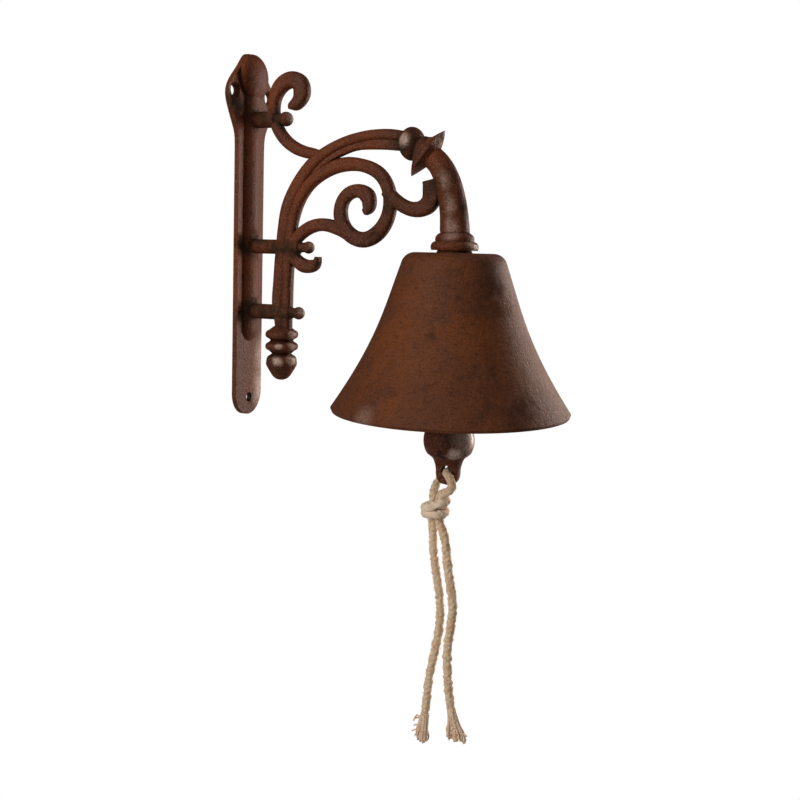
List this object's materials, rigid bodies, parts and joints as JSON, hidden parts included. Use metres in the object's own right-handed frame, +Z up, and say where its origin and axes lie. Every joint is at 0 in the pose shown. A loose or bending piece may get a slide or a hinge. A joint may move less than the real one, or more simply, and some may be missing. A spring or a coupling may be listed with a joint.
{
  "type": "doorbell",
  "caption": "Cast iron wall doorbell: a scrolled bracket with a spoon shaped plate holds a flared bell whose clapper swings on a wire link and is rung by a knotted cord.",
  "frame": {"origin": "on the back face of the wall plate, midway between its sides, at the height of the middle cross bar", "axes": "+X out from the wall along the bracket, +Z up, +Y toward the wall's left as seen from the room; the bracket is symmetric about the plane Y = 0"},
  "size_m": [0.1827, 0.1206, 0.3578],
  "materials": {
    "cast_iron": "rusty brown, satin",
    "fixings": "dull steel",
    "cotton_cord": "twisted cotton"
  },
  "bodies": {
    "frame": {"bracket": "cast_iron", "bell": "cast_iron", "hanger_bolt": "fixings", "bell_washer": "fixings", "bell_nut": "fixings"},
    "link": {"wire_link": "fixings"},
    "clapper": {"clapper": "cast_iron", "pull_cord_right": "cotton_cord", "pull_cord_left": "cotton_cord", "cord_knot": "cotton_cord"}
  },
  "joints": [
    {"name": "link_swing", "type": "hinge", "parent": "frame", "child": "link", "pos_m": [0.1224, 0, -0.0233], "axis": [1, 0, 0], "range_deg": [-18, 18]},
    {"name": "clapper_swing", "type": "hinge", "parent": "link", "child": "clapper", "pos_m": [0.1224, 0, -0.0325], "axis": [0, 1, 0], "range_deg": [-32, 32]}
  ]
}
